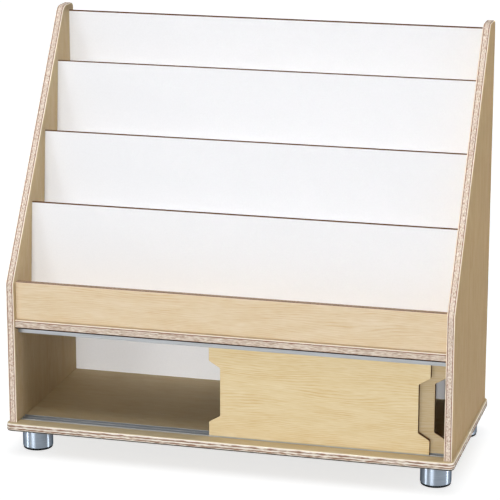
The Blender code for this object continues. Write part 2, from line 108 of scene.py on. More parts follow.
def solid(name, points, faces):
    """Closed mesh object from an array of points and their faces, merged at its seams and poles."""
    mesh = bpy.data.meshes.new(name)
    mesh.from_pydata(points.tolist(), [], faces)
    shape = bmesh.new()
    shape.from_mesh(mesh)
    bmesh.ops.remove_doubles(shape, verts=shape.verts, dist=WELD)
    bmesh.ops.recalc_face_normals(shape, faces=shape.faces)
    shape.to_mesh(mesh)
    shape.free()
    piece = bpy.data.objects.new(name, mesh)
    bpy.context.scene.collection.objects.link(piece)
    return piece


def ring_faces(rings, count):
    """Quads between each closed ring of count points and the next ring."""
    ring, step = np.meshgrid(np.arange(rings - 1), np.arange(count), indexing="ij")
    after = (step + 1) % count
    quads = np.stack([ring * count + step, ring * count + after,
                      (ring + 1) * count + after, (ring + 1) * count + step], axis=-1)
    return quads.reshape(-1, 4).tolist()


def outline(corners):
    """Closed outline through corners (u, v, radius, eased), where eased is that of the side after a corner.

    A round corner is an arc about corner + bisector * radius / sin(half angle), tangent to both sides, with a
    point on the straight run at either end. Returns the points and, for each, if the side after it is eased.
    """
    points, eased = [], []
    spots = np.array([corner[:2] for corner in corners])
    for index, (_, _, radius, flag) in enumerate(corners):
        if radius == 0:
            points.append(spots[index:index + 1])
            eased.append([flag])
            continue
        before = spots[index - 1] - spots[index]
        after = spots[(index + 1) % len(corners)] - spots[index]
        before, after = before / np.linalg.norm(before), after / np.linalg.norm(after)
        half = math.acos(before @ after) / 2
        bisector = (before + after) / np.linalg.norm(before + after)
        sideways = (after - before) / np.linalg.norm(after - before)
        centre = spots[index] + bisector * radius / math.sin(half)
        turn = np.linspace(-1, 1, ARC_STEPS + 1)[:, None] * (math.pi / 2 - half)
        arc = centre + radius * (np.sin(turn) * sideways - np.cos(turn) * bisector)
        guards = spots[index] + np.stack([before, after]) * radius * (1 / math.tan(half) + GUARD_SHARE)
        points.append(np.vstack([guards[:1], arc, guards[1:]]))
        eased.append([corners[index - 1][3]] + [True] * ARC_STEPS + [flag, flag])
    return np.vstack(points), np.concatenate(eased).astype(float)


def inward(points, eased):
    """How each outline point moves when the eased sides move in by 1, so that it stays on both its sides."""
    side = np.roll(points, -1, axis=0) - points
    side = side / np.linalg.norm(side, axis=1, keepdims=True)
    second = np.stack([-side[:, 1], side[:, 0]], axis=1)
    first = np.roll(second, 1, axis=0)
    move_second = eased[:, None]
    move_first = np.roll(eased, 1)[:, None]
    cosine = np.sum(first * second, axis=1, keepdims=True)
    spread = 1 - cosine ** 2
    straight = spread < WELD
    spread = np.where(straight, 1, spread)
    crossing = ((move_first - move_second * cosine) * first
                + (move_second - move_first * cosine) * second) / spread
    return np.where(straight, second * move_second, crossing)


def eased_board(name, corners, axes, low, high, easing):
    """Board with an outline in two of its axes, from low to high in the third, and softened arrises.

    Point(side, turn) = outline(side) + inward(side) * easing * (1 - sin turn), easing * (1 - cos turn) off
    the face: a quarter circle at each face, carried round the outline.
    """
    points, eased = outline(corners)
    count = len(points)
    turn = np.linspace(0, math.pi / 2, ARC_STEPS + 1)
    guard = easing * (1 + GUARD_SHARE)
    inset = np.concatenate([[guard], easing * (1 - np.sin(turn)), [0]])
    depth = np.concatenate([[0], easing * (1 - np.cos(turn)), [guard]])
    insets = np.concatenate([inset, inset[::-1]])
    heights = np.concatenate([low + depth, (high - depth)[::-1]])
    flat = points[None] + inward(points, eased)[None] * insets[:, None, None]
    level = np.broadcast_to(heights[:, None, None], (len(heights), count, 1))
    grid = np.concatenate([flat, level], axis=2).reshape(-1, 3)
    last = len(grid) - count
    faces = ring_faces(len(heights), count) + [list(range(count)), list(range(last, len(grid)))]
    return solid(name, grid @ np.stack(axes), faces)


def carried(name, section, start, end):
    """Closed section of (y, z) points carried straight along X from start to end."""
    count = len(section)
    ends = [np.column_stack([np.full(count, x), section]) for x in (start, end)]
    caps = [list(range(count)), list(range(count, 2 * count))]
    return solid(name, np.vstack(ends), ring_faces(2, count) + caps)


def revolved(name, profile, middle, sides):
    """Profile of (radius, height) points carried round the upright axis through middle."""
    angle = np.linspace(0, 2 * math.pi, sides, endpoint=False)
    radius, height = np.array(profile).T
    points = np.stack([middle.x + radius[:, None] * np.cos(angle),
                       middle.y + radius[:, None] * np.sin(angle),
                       np.broadcast_to(height[:, None], (len(radius), sides))], axis=-1)
    return solid(name, points.reshape(-1, 3), ring_faces(len(radius), sides))


def rounded_rim(radius, height, easing, start):
    """Quarter circle of (radius, height) points about a centre, from an angle in degrees to 90 less."""
    angle = np.radians(np.linspace(start, start - 90, ARC_STEPS + 1))
    return list(zip(radius + easing * np.cos(angle), height + easing * np.sin(angle)))


def extent(name, axes):
    """Lowest and highest reach along each of three axes of a node, or of the board that is drawn for it."""
    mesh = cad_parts[name].data
    points = np.empty(3 * len(mesh.vertices))
    mesh.vertices.foreach_get("co", points)
    reach = points.reshape(-1, 3) @ np.stack(axes).T
    return reach.min(axis=0) - DRAWN_LOWER.get(name, (0, 0, 0)), reach.max(axis=0)


def room_for(name, axes):
    """Cutter: the box of a node in its own axes, wider by the fit gap."""
    low, high = extent(name, axes)
    low, high = low - FIT_GAP, high + FIT_GAP
    corners = [(low[0], low[1]), (high[0], low[1]), (high[0], high[1]), (low[0], high[1])]
    base = np.column_stack([corners, np.full(4, low[2])])
    lid = np.column_stack([corners, np.full(4, high[2])])
    return solid(name + "_room", np.vstack([base, lid]) @ np.stack(axes),
                 ring_faces(2, 4) + [[0, 1, 2, 3], [4, 5, 6, 7]])


def hole_for(name, shank=None, rim=0.0):
    """Cutter: a node's turned form, wider by the fit gap. A countersunk head narrows to its shank."""
    low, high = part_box(name)
    head = (high.x - low.x) / 2 + FIT_GAP
    bottom, top = low.z - FIT_GAP, high.z + FIT_GAP
    profile = [(0, bottom), (head, bottom), (head, top), (0, top)]
    if shank:
        neck = shank + FIT_GAP
        shoulder = low.z + rim + FIT_GAP
        profile = [(0, bottom), (head, bottom), (head, shoulder),
                   (neck, shoulder + head - neck), (neck, top), (0, top)]
    return revolved(name + "_hole", profile, (low + high) / 2, HOLE_SIDES)


def cut_out(piece, cutters):
    """Take the cutters out of a piece, for good."""
    for cutter in cutters:
        piece.modifiers.new("cut", "BOOLEAN").object = cutter
    shape = piece.evaluated_get(bpy.context.evaluated_depsgraph_get())
    mesh = bpy.data.meshes.new_from_object(shape)
    piece.modifiers.clear()
    piece.data = mesh
    for cutter in cutters:
        bpy.data.objects.remove(cutter)


def stand_in(piece, node_name, material, body="carcass"):
    """Finish a drawn piece, which takes the place of a node on a body."""
    piece.data.shade_smooth()
    piece.data.set_sharp_from_angle(angle=SHARP_ANGLE)
    piece.data.materials.clear()
    piece.data.materials.append(material)
    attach(piece, body)
    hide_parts(node_name)


# Materials

MIX_FACTOR, MIX_A, MIX_B, MIX_RESULT = 0, 6, 7, 2     # sockets of a Mix node set to colour
MM_PER_METRE = 1000.0
SATIN = 0.05                    # specular level of lacquer and melamine under the broad studio light

# Birch grain: length along it and width across it in millimetres, and detail of the noise
SWAY = (380.0, 95.0, 1.0)
RIPPLE = (55.0, 12.0, 1.0)
BANDS = (120.0, 30.0, 1.0)
FIBRES = (26.0, 1.8, 2.0)
HONEY = (80.0, 16.0, 2.0)
SWAY_REACH = 60.0               # how far the growth lines are led aside, in millimetres
RIPPLE_REACH = 5.0
GROWTH_PITCH = 4.8              # millimetres between growth lines
GROWTH_SHARE = (0.03, 0.15)     # weight of the growth lines in the tone, from faint bands to strong ones
FIBRE_SHARE = 0.4
HONEY_SHARE = 0.25
BIRCH_TONES = [(0.16, "#E8D8C1"), (0.37, "#DDC8A6"), (0.56, "#D2B48A"), (0.76, "#C39D70")]
WAY_ON = np.array([1.0, 0.37, 0.71])      # the way through the wood from one board's veneer to another's
VENEERS = {                     # how many millimetres on that way a board's veneer lies, and its cast
    # the casts of both sides and the base are partly painted shade, the tone of their shaded faces
    "left_side_panel": (130.0, "#EEEBDF"),
    "right_side_panel": (460.0, "#FFF2D5"),
    "base_board": (310.0, "#F4F6EE"),
    "shelf_board": (520.0, "#FFFFFF"),
    "front_lip": (790.0, "#FFFFFF"),
    "front_door": (1130.0, "#FFFFF1"),
    # the rear door's darker cast is painted shade, where the front door shades it
    "rear_door": (1470.0, "#DEDDD4"),
    "front_tier_floor": (2100.0, "#FFFFFF"),
    "middle_tier_floor": (2270.0, "#FFFFFF"),
    "rear_tier_floor": (2440.0, "#FFFFFF"),
}

# Cut edges of plywood, in millimetres below the face, with colours at shares of LAYER_SPAN
LAYER_SPAN = 10.0
LAYER_WAVE = 0.5                # how far the layers stray
CREAM = 2.0                     # thickness of the cream face veneer
# The edge's cream face veneer is drawn near white: partly its own colour, partly a painted highlight.
UNDER_FACE = [(CREAM / LAYER_SPAN, "#FFF6E8"), (0.24, "#7E523F"), (0.36, "#8C6552")]
CORE_START, STRIPED_CORE_START = 0.36, 0.18
CORE_FADE = 0.06
CORE_TONES = [(0.37, "#93735F"), (0.50, "#CFBEAE"), (0.63, "#EDE7DB")]
STRIPE_PITCH = 5.5
ARRIS_SHADE_LINE = (2.6, 3.2)          # height where the painted shade on the lower arris starts to fade, and where it ends

# White board, in millimetres
SAWN_DEPTH = (0.25, 0.5)        # below the face, where the skin ends and the fibre shows
SANDED_TOP = (1.9, 1.6)         # below the top edge, where the skin starts to fade, and where it is gone


def linear(code):
    """sRGB hex colour as linear light, with an alpha of 1."""
    channels = np.array([int(code[at:at + 2], 16) for at in (1, 3, 5)]) / 255
    light = np.where(channels <= 0.04045, channels / 12.92, ((channels + 0.055) / 1.055) ** 2.4)
    return (*light, 1.0)


def add_node(tree, kind, inputs, output=0, **settings):
    """Add a node with its settings, and give one of its outputs.

    inputs maps a socket to its value, or to the output that feeds it.
    """
    made = tree.nodes.new(kind)
    for key, value in settings.items():
        setattr(made, key, value)
    for socket, value in inputs.items():
        if isinstance(value, bpy.types.NodeSocket):
            tree.links.new(value, made.inputs[socket])
        else:
            made.inputs[socket].default_value = value
    return made.outputs[output]


def start_material(name):
    """New material: its tree, its shader, and the place on the object in millimetres."""
    material = bpy.data.materials.new(name)
    material.use_nodes = True
    tree = material.node_tree
    place = add_node(tree, "ShaderNodeTexCoord", {}, "Object")
    millimetres = add_node(tree, "ShaderNodeVectorMath", {0: place, "Scale": MM_PER_METRE}, operation="SCALE")
    return material, tree, tree.nodes["Principled BSDF"], millimetres


def colours_along(tree, value, stops):
    """Colour that runs through (position, hex colour) stops as a value grows."""
    colour = add_node(tree, "ShaderNodeValToRGB", {"Fac": value}, "Color")
    elements = colour.node.color_ramp.elements
    while len(elements) < len(stops):
        elements.new(1.0)
    for element, (position, code) in zip(elements, stops):
        element.position = position
        element.color = linear(code)
    return colour


def feed(tree, shader, **sources):
    """Link outputs to the shader's sockets, whose names have _ for a space."""
    for socket, source in sources.items():
        tree.links.new(source, shader.inputs[socket.replace("_", " ")])


def sheet_depth(tree, height, low, high):
    """How far a height through a flat sheet lies below the nearer face, in millimetres."""
    middle, half = MM_PER_METRE * (low + high) / 2, MM_PER_METRE * (high - low) / 2
    off_middle = add_node(tree, "ShaderNodeMath", {0: height, 1: middle}, operation="SUBTRACT")
    away = add_node(tree, "ShaderNodeMath", {0: off_middle}, operation="ABSOLUTE")
    return add_node(tree, "ShaderNodeMath", {0: half, 1: away}, operation="SUBTRACT")


def sliced_face(tree, moved, grain, across, seed):
    """Colour and fibres of sliced birch: growth lines that sway along the grain, fibres and honey streaks.

    Growth = sin(2 pi (across + sway + ripple) / pitch), stronger in some bands than in others.
    """
    run = add_node(tree, "ShaderNodeVectorMath", {0: moved, 1: grain}, "Value", operation="DOT_PRODUCT")
    over = add_node(tree, "ShaderNodeVectorMath", {0: moved, 1: across}, "Value", operation="DOT_PRODUCT")

    def streaks(length, width, detail):
        """Noise drawn out along the grain, with features of this length and width in millimetres."""
        along = add_node(tree, "ShaderNodeMath", {0: run, 1: length}, operation="DIVIDE")
        aside = add_node(tree, "ShaderNodeMath", {0: over, 1: width}, operation="DIVIDE")
        place = add_node(tree, "ShaderNodeCombineXYZ", {"X": along, "Y": aside, "Z": seed})
        return add_node(tree, "ShaderNodeTexNoise", {"Vector": place, "Scale": 1.0, "Detail": detail})

    aside = add_node(tree, "ShaderNodeMath", {0: streaks(*SWAY), 1: SWAY_REACH, 2: over},
                     operation="MULTIPLY_ADD")
    aside = add_node(tree, "ShaderNodeMath", {0: streaks(*RIPPLE), 1: RIPPLE_REACH, 2: aside},
                     operation="MULTIPLY_ADD")
    phase = add_node(tree, "ShaderNodeMath", {0: aside, 1: 2 * math.pi / GROWTH_PITCH}, operation="MULTIPLY")
    wave = add_node(tree, "ShaderNodeMath", {0: phase}, operation="SINE")
    growth = add_node(tree, "ShaderNodeMapRange", {"Value": wave, "From Min": -0.2, "From Max": 1.0},
                      interpolation_type="SMOOTHSTEP")
    faint, strong = GROWTH_SHARE
    share = add_node(tree, "ShaderNodeMapRange", {"Value": streaks(*BANDS), "From Min": 0.4, "From Max": 0.65,
                                                  "To Min": faint, "To Max": strong})
    tone = add_node(tree, "ShaderNodeMath", {0: growth, 1: share}, operation="MULTIPLY")
    fibre = streaks(*FIBRES)
    tone = add_node(tree, "ShaderNodeMath", {0: fibre, 1: FIBRE_SHARE, 2: tone}, operation="MULTIPLY_ADD")
    tone = add_node(tree, "ShaderNodeMath", {0: streaks(*HONEY), 1: HONEY_SHARE, 2: tone},
                    operation="MULTIPLY_ADD")
    return colours_along(tree, tone, BIRCH_TONES), fibre


def cut_edge(tree, moved, through, depth, rise, fleck, plies, cream):
    """Colour of a cut edge: the cream face veneer, a red-brown layer under it and a core with flecks.

    Where plies has a share, stripes cos(2 pi rise / pitch) run along the core, which then starts at once.
    """
    length, height, contrast = fleck
    fineness = (1 - np.abs(through)) / length + np.abs(through) / height
    drawn = add_node(tree, "ShaderNodeVectorMath", {0: moved, 1: fineness}, operation="MULTIPLY")
    streak = add_node(tree, "ShaderNodeTexNoise", {"Vector": drawn, "Scale": 1.0, "Detail": 2.0})
    wavy = add_node(tree, "ShaderNodeMath", {0: streak, 1: LAYER_WAVE, 2: depth}, operation="MULTIPLY_ADD")
    sunk = add_node(tree, "ShaderNodeMath", {0: wavy, 1: CREAM - cream}, operation="ADD")
    layer = add_node(tree, "ShaderNodeMath", {0: sunk, 1: LAYER_SPAN}, operation="DIVIDE")
    outer = colours_along(tree, layer, UNDER_FACE)
    turns = add_node(tree, "ShaderNodeMath", {0: rise, 1: 2 * math.pi / STRIPE_PITCH}, operation="MULTIPLY")
    stripe = add_node(tree, "ShaderNodeMath", {0: turns}, operation="COSINE")
    mottle = add_node(tree, "ShaderNodeMath", {0: streak, 1: contrast, 2: 0.5 - 0.5 * contrast},
                      operation="MULTIPLY_ADD")
    speckle = add_node(tree, "ShaderNodeMath", {0: stripe, 1: -plies, 2: mottle}, operation="MULTIPLY_ADD")
    core = colours_along(tree, speckle, CORE_TONES)
    start = STRIPED_CORE_START if plies else CORE_START
    inside = add_node(tree, "ShaderNodeMapRange", {"Value": layer, "From Min": start,
                                                   "From Max": start + CORE_FADE})
    return add_node(tree, "ShaderNodeMix", {MIX_FACTOR: inside, MIX_A: outer, MIX_B: core}, MIX_RESULT,
                    data_type="RGBA")


def birch_plywood(name, node_name, axes, grain, edge_cast="#FFFFFF", fleck=(4.0, 1.3, 0.55), plies=0.0,
                  lower_arris_shade=None, veneer=(0.3, 0.9, CREAM)):
    """Birch plywood, sliced face veneer under clear satin lacquer, sanded round at its cut edges.

    The face shows faint growth lines about 5 mm apart that sway along the grain, fine fibres and honey
    streaks. Each board has its own part of the wood and its own cast; some casts are painted shade.
    An edge shows the face veneer, drawn near white as partly its own colour and partly a painted
    highlight, the layer under it and a pale core of cross and end grain. fleck gives the length and the
    height of the core's flecks in millimetres and their contrast, and plies the share of its stripes.
    veneer gives the depths in millimetres where the edge starts and where it is full, and the thickness
    of its cream layer. Real layers are 1.4 mm, too fine to show: they are drawn coarser, and the stripes
    5.5 mm apart. The dark line along the lower arris is painted shade.
    """
    material, tree, shader, position = start_material(name)
    through = axes[2]
    low, high = (reach[2] for reach in extent(node_name, axes))
    shift, cast = VENEERS[node_name]
    moved = add_node(tree, "ShaderNodeVectorMath", {0: position, 1: shift * WAY_ON}, operation="ADD")
    grown, fibre = sliced_face(tree, moved, grain, np.cross(through, grain), shift)
    face = add_node(tree, "ShaderNodeMix", {MIX_FACTOR: 1.0, MIX_A: grown, MIX_B: linear(cast)}, MIX_RESULT,
                    data_type="RGBA", blend_type="MULTIPLY")

    height = add_node(tree, "ShaderNodeVectorMath", {0: position, 1: through}, "Value",
                      operation="DOT_PRODUCT")
    depth = sheet_depth(tree, height, low, high)
    rise = add_node(tree, "ShaderNodeMath", {0: height, 1: MM_PER_METRE * low}, operation="SUBTRACT")
    start, full, cream = veneer
    layers = cut_edge(tree, moved, through, depth, rise, fleck, plies, cream)
    edge = add_node(tree, "ShaderNodeMix", {MIX_FACTOR: 1.0, MIX_A: layers, MIX_B: linear(edge_cast)},
                    MIX_RESULT, data_type="RGBA", blend_type="MULTIPLY")
    # the dark line along the lower arris is painted shade
    if lower_arris_shade:
        fades, ends = ARRIS_SHADE_LINE
        arris_shade_mask = add_node(tree, "ShaderNodeMapRange", {"Value": rise, "From Min": fades, "From Max": ends,
                                                       "To Min": 1.0, "To Max": 0.0})
        edge = add_node(tree, "ShaderNodeMix", {MIX_FACTOR: arris_shade_mask, MIX_A: edge, MIX_B: linear(lower_arris_shade)},
                        MIX_RESULT, data_type="RGBA")

    cut = add_node(tree, "ShaderNodeMapRange", {"Value": depth, "From Min": start, "From Max": full})
    colour = add_node(tree, "ShaderNodeMix", {MIX_FACTOR: cut, MIX_A: face, MIX_B: edge}, MIX_RESULT,
                      data_type="RGBA")
    rough = add_node(tree, "ShaderNodeMapRange", {"Value": cut, "To Min": 0.55, "To Max": 0.8})
    bump = add_node(tree, "ShaderNodeBump", {"Height": fibre, "Strength": 0.15, "Distance": 0.0004})
    feed(tree, shader, Base_Color=colour, Roughness=rough, Normal=bump)
    shader.inputs["Specular IOR Level"].default_value = SATIN
    return material


def white_laminate(name, node_name, axes):
    """White melamine on hardboard: smooth satin faces with a faint pebble.

    Raw brown fibre shows on the sawn edges, and on the top 1.8 mm of the faces, where the edge was sanded.
    """
    material, tree, shader, position = start_material(name)
    low, high = extent(node_name, axes)
    height = add_node(tree, "ShaderNodeVectorMath", {0: position, 1: axes[2]}, "Value",
                      operation="DOT_PRODUCT")
    depth = sheet_depth(tree, height, low[2], high[2])
    skin_ends, fibre_shows = SAWN_DEPTH
    sawn = add_node(tree, "ShaderNodeMapRange", {"Value": depth, "From Min": skin_ends,
                                                 "From Max": fibre_shows})
    up = add_node(tree, "ShaderNodeVectorMath", {0: position, 1: axes[1]}, "Value", operation="DOT_PRODUCT")
    top = MM_PER_METRE * high[1]
    fades, gone = SANDED_TOP
    sanded = add_node(tree, "ShaderNodeMapRange", {"Value": up, "From Min": top - fades,
                                                   "From Max": top - gone})
    raw = add_node(tree, "ShaderNodeMath", {0: sawn, 1: sanded}, operation="MAXIMUM")
    fibres = add_node(tree, "ShaderNodeTexNoise", {"Vector": position, "Scale": 0.35, "Detail": 4.0})
    core = colours_along(tree, fibres, [(0.3, "#5F3F25"), (0.7, "#775233")])
    skin = colours_along(tree, fibres, [(0.3, "#EEEFF2"), (0.7, "#F1F2F5")])
    colour = add_node(tree, "ShaderNodeMix", {MIX_FACTOR: raw, MIX_A: skin, MIX_B: core}, MIX_RESULT,
                      data_type="RGBA")
    pebble = add_node(tree, "ShaderNodeTexNoise", {"Vector": position, "Scale": 0.5, "Detail": 2.0})
    bump = add_node(tree, "ShaderNodeBump", {"Height": pebble, "Strength": 0.08, "Distance": 0.0003})
    rough = add_node(tree, "ShaderNodeMapRange", {"Value": raw, "To Min": 0.4, "To Max": 0.9})
    feed(tree, shader, Base_Color=colour, Roughness=rough, Normal=bump)
    shader.inputs["Specular IOR Level"].default_value = SATIN
    return material


def worked_metal(name, colours, pitch, roughness):
    """Bare metal with lines from its drawing or turning. pitch is their size in millimetres along X, Y, Z."""
    material, tree, shader, position = start_material(name)
    scale = [1 / size for size in pitch]
    place = add_node(tree, "ShaderNodeVectorMath", {0: position, 1: scale}, operation="MULTIPLY")
    lines = add_node(tree, "ShaderNodeTexNoise", {"Vector": place, "Scale": 1.0, "Detail": 2.0})
    colour = colours_along(tree, lines, [(0.25, colours[0]), (0.75, colours[1])])
    rough = add_node(tree, "ShaderNodeMapRange", {"Value": lines, "To Min": 0.8 * roughness,
                                                  "To Max": 1.2 * roughness})
    bump = add_node(tree, "ShaderNodeBump", {"Height": lines, "Strength": 0.05, "Distance": 0.0002})
    feed(tree, shader, Base_Color=colour, Roughness=rough, Normal=bump)
    shader.inputs["Metallic"].default_value = 1.0
    return material


def turned_steel():
    """Chromed steel tube with fine turning lines round it, which draw a lamp out into an upright streak."""
    material = worked_metal("turned_chromed_steel", ("#8893A0", "#A3AEBB"), (40.0, 40.0, 0.8), 0.4)
    shader = material.node_tree.nodes["Principled BSDF"]
    shader.inputs["Anisotropic"].default_value = 0.95
    shader.inputs["Anisotropic Rotation"].default_value = 0.25
    shader.inputs["Specular Tint"].default_value = linear("#3A424C")
    return material


def moulded_polypropylene():
    """Black polypropylene, moulded in a spark-eroded tool: a fine matt grain."""
    material, tree, shader, position = start_material("moulded_black_polypropylene")
    grain = add_node(tree, "ShaderNodeTexNoise", {"Vector": position, "Scale": 1.5, "Detail": 2.0})
    colour = colours_along(tree, grain, [(0.3, "#0C0C0C"), (0.7, "#161616")])
    rough = add_node(tree, "ShaderNodeMapRange", {"Value": grain, "To Min": 0.45, "To Max": 0.65})
    bump = add_node(tree, "ShaderNodeBump", {"Height": grain, "Strength": 0.2, "Distance": 0.0002})
    feed(tree, shader, Base_Color=colour, Roughness=rough, Normal=bump)
    shader.inputs["Specular IOR Level"].default_value = 0.1
    return material


def raw_beech():
    """Raw beech dowel: pinkish brown with short darker flecks along it."""
    material, tree, shader, position = start_material("raw_beech")
    drawn = add_node(tree, "ShaderNodeVectorMath", {0: position, 1: (1.2, 1.2, 0.15)}, operation="MULTIPLY")
    flecks = add_node(tree, "ShaderNodeTexNoise", {"Vector": drawn, "Scale": 1.0, "Detail": 3.0})
    colour = colours_along(tree, flecks, [(0.35, "#A9805A"), (0.65, "#C9A076")])
    rough = add_node(tree, "ShaderNodeMapRange", {"Value": flecks, "To Min": 0.6, "To Max": 0.7})
    feed(tree, shader, Base_Color=colour, Roughness=rough)
    return material


# Boards

DIVIDERS = ("front_divider", "middle_divider", "rear_divider")
TIER_FLOORS = ("front_tier_floor", "middle_tier_floor", "rear_tier_floor")
FEET = ("front_left", "front_right", "rear_left", "rear_right")
SLOTTED = {"shelf_board": LEVEL, "back_panel": STANDING, **dict.fromkeys(DIVIDERS, LEANING),
           **dict.fromkeys(TIER_FLOORS, LEANING_FLOOR)}


def named(start):
    """The nodes whose names start so."""
    return [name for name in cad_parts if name.startswith(start)]


def rectangle(low, high, eased):
    """Corners of a rectangle, where eased tells of its low, right, high and left sides."""
    spots = [(low[0], low[1]), (high[0], low[1]), (high[0], high[1]), (low[0], high[1])]
    return [(*spot, 0, flag) for spot, flag in zip(spots, eased)]


def side_panel(name):
    """Upright side, bent back above the shelf and round at its small top. Its foot is square on the base."""
    low, high = extent(name, END_ON)
    top = high[1] - PANEL_TOP_DROP
    corners = [(low[0], low[1], 0, False), (high[0], low[1], 0, True),
               (high[0], top, PANEL_BACK_RADIUS, True),
               (high[0] - PANEL_TOP_LENGTH, top, PANEL_FRONT_RADIUS, True),
               (low[0], PANEL_BEND, PANEL_BEND_RADIUS, True)]
    panel = eased_board(name + "_board", corners, END_ON, low[2], high[2], PLY_EASING)
    cut_out(panel, [room_for(board, axes) for board, axes in SLOTTED.items()]
            + [hole_for(screw, BASE_SCREW_SHANK, BASE_SCREW_RIM) for screw in named("base_screw")])
    stand_in(panel, name, birch_plywood(name + "_birch_plywood", name, END_ON, Z))


def base_slab():
    """Bottom board with round corners, a groove for the lower track and holes for screws and inserts."""
    low, high = extent("base_board", LEVEL)
    low = low + (BASE_END_TRIM, BASE_FRONT_TRIM, 0)
    high = high - (BASE_END_TRIM, 0, 0)
    corners = [(*corner[:2], BASE_CORNER_RADIUS, True) for corner in rectangle(low, high, [True] * 4)]
    slab = eased_board("base_slab", corners, LEVEL, low[2], high[2], PLY_EASING)
    cut_out(slab, [room_for("lower_track", LEVEL)] + [hole_for(insert) for insert in named("foot_insert")]
            + [hole_for(screw, BASE_SCREW_SHANK, BASE_SCREW_RIM) for screw in named("base_screw")])
    # its dark lower arris is painted shade, where the floor below is in shadow
    plywood = birch_plywood("base_birch_plywood", "base_board", LEVEL, X, fleck=(18.0, 2.8, 1.0), plies=0.16,
                            lower_arris_shade="#1E1A17")
    stand_in(slab, "base_board", plywood)


def shelf_slab():
    """Cupboard top, softened along its front, with a groove for the upper track. It ends in the sides."""
    low, high = extent("shelf_board", LEVEL)
    corners = rectangle(low, high, [True, False, False, False])
    slab = eased_board("shelf_slab", corners, LEVEL, low[2], high[2], PLY_EASING)
    cut_out(slab, [room_for("upper_track", LEVEL)] + [hole_for(dowel) for dowel in named("lip_dowel")])
    # its dark lower arris is painted shade of the gap over the upper track
    plywood = birch_plywood("shelf_birch_plywood", "shelf_board", LEVEL, X, fleck=(9.0, 1.4, 0.45),
                            lower_arris_shade="#2A221D", veneer=(0.03, 0.25, 1.7))
    stand_in(slab, "shelf_board", plywood)


def lip_strip():
    """Strip on the front of the shelf, softened along its top and its foot."""
    low, high = extent("front_lip", STANDING)
    high = high + (0, LIP_RAISE, 0)
    corners = rectangle(low, high, [LIP_FOOT_SHARE, False, True, False])
    strip = eased_board("front_lip_strip", corners, STANDING, low[2], high[2], PLY_EASING)
    cut_out(strip, [hole_for(dowel) for dowel in named("lip_dowel")])
    plywood = birch_plywood("lip_birch_plywood", "front_lip", STANDING, X, edge_cast="#F6E6D8",
                            veneer=(0.1, 0.5, 1.4))
    stand_in(strip, "front_lip", plywood)


def white_board(name, axes):
    """White divider or back with a crisp top edge."""
    low, high = extent(name, axes)
    corners = rectangle(low, high, [False, False, True, False])
    board = eased_board(name + "_sheet", corners, axes, low[2], high[2], LAMINATE_EASING)
    stand_in(board, name, white_laminate(name + "_white_laminate", name, axes))


def sliding_door(name):
    """Thin door with a half-hexagon finger notch in both ends."""
    low, high = extent(name, STANDING)
    middle = (low[1] + high[1]) / 2
    floor = high[0] - NOTCH_DEPTH
    right = [(high[0], low[1], 0), (high[0], middle - NOTCH_MOUTH / 2, NOTCH_RADIUS),
             (floor, middle - NOTCH_BOTTOM / 2, NOTCH_RADIUS),
             (floor, middle + NOTCH_BOTTOM / 2, NOTCH_RADIUS),
             (high[0], middle + NOTCH_MOUTH / 2, NOTCH_RADIUS), (high[0], high[1], 0)]
    left = [(low[0] + high[0] - u, low[1] + high[1] - v, radius) for u, v, radius in right]
    corners = [(*corner, True) for corner in right + left]
    leaf = eased_board(name + "_leaf", corners, STANDING, low[2], high[2], DOOR_EASING)
    # Dark brown door edges: painted shade of the door ends and of the gap between the doors.
    plywood = birch_plywood(name + "_birch_plywood", name, STANDING, X, edge_cast="#8C7464")
    stand_in(leaf, name, plywood, name)


# Tracks and feet

def door_track(name, back, rim, material):
    """Comb section with two channels between its back and its rims, carried from side to side."""
    low, high = extent(name, LEVEL)
    walls = np.linspace(low[1], high[1] - TRACK_WALL, TRACK_WALLS)
    floor = back + math.copysign(TRACK_WALL, rim - back)
    comb = [(low[1], back, 0), (high[1], back, 0)]
    for wall in walls[::-1]:
        comb += [(wall + TRACK_WALL, floor, 0), (wall + TRACK_WALL, rim, TRACK_EASING),
                 (wall, rim, TRACK_EASING), (wall, floor, 0)]
    # No channel lies outside the outer walls, so they rise straight from the back
    corners = comb[:2] + comb[3:-1]
    section, _ = outline([(*corner, True) for corner in corners])
    track = carried(name + "_section", section, low[0], high[0])
    stand_in(track, name, material)


def foot(corner, steel, plastic):
    """Steel sleeve, closed at its top round the bolt, over a black glide whose flange has soft rims."""
    name = "foot_sleeve_" + corner
    low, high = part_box(name)
    outer = (high.x - low.x) / 2
    inner = outer - SLEEVE_WALL
    insert_low, insert_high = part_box("foot_insert_" + corner)
    bore = (insert_high.x - insert_low.x) / 2 - INSERT_WALL
    plate = high.z - SLEEVE_PLATE
    ease = SLEEVE_EASING
    profile = ([(bore, high.z)] + rounded_rim(outer - ease, high.z - ease, ease, 90)
               + rounded_rim(outer - ease, low.z + ease, ease, 0)
               + [(inner, low.z), (inner, plate), (bore, plate), (bore, high.z)])
    sleeve = revolved("steel_sleeve_" + corner, profile, (low + high) / 2, FOOT_SIDES)
    stand_in(sleeve, name, steel)

    name = "foot_glide_" + corner
    low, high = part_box(name)
    flange = (high.x - low.x) / 2
    spigot = flange - GLIDE_STEP
    ease = GLIDE_EASING
    profile = ([(0, high.z), (spigot, high.z), (spigot, GLIDE_FLANGE)]
               + rounded_rim(flange - ease, GLIDE_FLANGE - ease, ease, 90)
               + rounded_rim(flange - ease, low.z + ease, ease, 0) + [(0, low.z)])
    glide = revolved("black_glide_" + corner, profile, (low + high) / 2, FOOT_SIDES)
    stand_in(glide, name, plastic)


